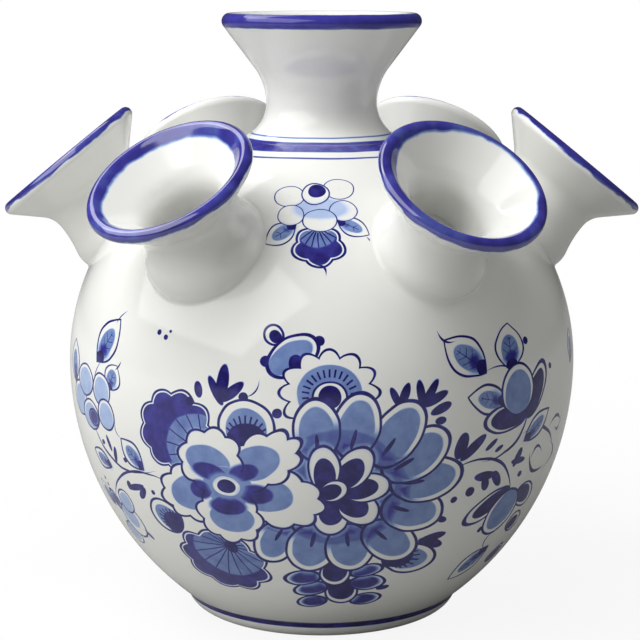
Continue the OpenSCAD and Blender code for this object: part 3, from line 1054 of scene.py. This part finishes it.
finish = neck_glaze = new_finish("Tin glaze with a cobalt neck band")
along = add("Attribute", attribute_name="lip", out=2)
sway = add("TexNoise", add("TexCoord", out=3), inputs={"Scale": 1 / (8 * MM), "Detail": 2.0})
along = add("Math ADD", along, add("MapRange", sway, 0.0, 1.0, -0.3, 0.3))
glazed(add("Math MAXIMUM", ring(0.6, 4.9, 0.25, 0.82, along), bands()), 0.04)

# %% Glazes on their pieces
bored.materials.clear()
for material in [glaze, *painted]:
    bored.materials.append(material)
centres = np.empty(len(bored.polygons) * 3, np.float32)
bored.polygons.foreach_get("center", centres)
centres = centres.reshape(-1, 3) / MM
from_axis = np.hypot(centres[:, 0], centres[:, 1])
upper = np.hypot(from_axis - SHOULDER_C[0], centres[:, 2] - SHOULDER_C[1]) - SHOULDER_R
lower = np.hypot(from_axis - BELLY_C[0], centres[:, 2] - BELLY_C[1]) - BELLY_R
outside_face = np.where(centres[:, 2] > SHOULDER_C[1], upper, lower) > -0.5
back = np.where(centres[:, 1] > 0, -1, 1)
face_turn = np.degrees(np.arctan2(back * centres[:, 0], -back * centres[:, 1]))
which = np.zeros(len(centres), np.int32)
for number, (turn_from, turn_to, low, high) in enumerate(PARTS.values(), 1):
    here = (face_turn >= turn_from) & (face_turn <= turn_to) & (centres[:, 2] >= low) & (centres[:, 2] < high)
    which[here & outside_face] = number
bored.polygons.foreach_set("material_index", which)
print("faces of each glaze on the globe:", np.bincount(which).tolist())
neck.data.materials.append(neck_glaze)
for piece in spouts:
    piece.data.materials.append(lip_glaze)
for piece in [foot, *slips]:
    piece.data.materials.append(glaze)

# %% [markdown]
# ## Camera, floor and light
# The camera stands close to the vase and looks slightly down, so the far spouts show smaller than the near
# ones. A large softbox on the upper left is the key light and shows as a long pale patch in the glaze. A strip
# overhead draws the bright streaks on the lips. Smaller fills, hidden from reflections, soften the shading, and
# the right side falls off to grey. The floor is pale paper. The camera sees it bright near the vase and plain
# white further off, where it runs into the white of the world.

# %% Camera
lens = bpy.data.cameras.new("camera")
lens.lens, lens.sensor_width = 106.4, 36.0
lens.shift_x, lens.shift_y = -0.0027, -0.0039
lens.clip_start = 0.01
camera = bpy.data.objects.new("camera", lens)
camera.location = (0, -0.4932, 0.1672)
camera.rotation_euler = (math.radians(90 - 10.4), 0, 0)
bpy.context.scene.collection.objects.link(camera)
bpy.context.scene.camera = camera

# %% Floor
finish = paper = new_finish("Pale paper floor")
away = add("VectorMath LENGTH", add("TexCoord", out=3), out=1)
lit = add("BsdfDiffuse", colour("#A2A2A0"))
shown = add("Emission", (1, 1, 1, 1), add("MapRange", away, 0.1, 0.4, 1.12, 1.0))
seen = add("Math MULTIPLY", add("LightPath"), add("MapRange", away, 0.1, 0.4, 0.8, 1.0))
add("OutputMaterial", add("MixShader", seen, lit, shown))
floor_mesh = bpy.data.meshes.new("floor")
floor_mesh.from_pydata([(-3, -3, 0), (3, -3, 0), (3, 3, 0), (-3, 3, 0)], [], [(0, 1, 2, 3)])
floor_mesh.materials.append(paper)
floor = bpy.data.objects.new("floor", floor_mesh)
bpy.context.scene.collection.objects.link(floor)

# %% Lamps and world


def panel(name, centre, along, across, watts):
    """A soft rectangular lamp from its centre and two edges, in metres. It shines against along x across."""
    data = bpy.data.lights.new(name, "AREA")
    data.shape, data.energy = "RECTANGLE", watts
    data.size, data.size_y = float(np.linalg.norm(along)), float(np.linalg.norm(across))
    light = bpy.data.objects.new(name, data)
    light.location = centre
    x, z = unit(np.array(along)), unit(np.cross(along, across))
    light.rotation_euler = Matrix(np.stack([x, np.cross(z, x), z], axis=1).tolist()).to_euler()
    bpy.context.scene.collection.objects.link(light)
    print(f"{name}: {watts} W, {data.size:.2f} by {data.size_y:.2f} m")
    return light


panel("key softbox", (-0.745, -0.404, 0.607), (0.775, 0.311, 0.415), (-0.55, 1.287, 0.062), 8.0)
panel("overhead strip", (-0.55, 0.36, 0.85), (0.6, 0.5, 0), (-0.28, 0.33, -0.1), 2.8)
FILLS = {
    "upper left": (-48, 62, 4.7),
    "overhead": (0, 70, 1.4),
    "low left": (-62, 8, 1.9),
    "back left": (-150, 25, 1.4),
    "front right": (30, 20, 0.9),
    "back right": (115, 35, 1.8),
}
FILL_DISTANCE, FILL_EDGE, AIM_HEIGHT = 0.95, 0.42, 0.08
for name, (turn, rise, watts) in FILLS.items():
    e = math.radians(rise)
    out, side = round_axis(turn)
    back, up = out * math.cos(e) + UP * math.sin(e), UP * math.cos(e) - out * math.sin(e)
    fill = panel(name, back * FILL_DISTANCE + UP * AIM_HEIGHT, side * FILL_EDGE, up * FILL_EDGE, watts)
    fill.visible_glossy = False
world = bpy.data.worlds.new("studio")
bpy.context.scene.world = world
world.use_nodes = True
world.node_tree.nodes.clear()
finish = world
room = add("Background", (1, 1, 1, 1), 0.04)
white = add("Background", (1, 1, 1, 1), 1.0)
add("OutputWorld", add("MixShader", add("LightPath"), room, white))
bpy.context.scene.view_settings.view_transform = "Standard"
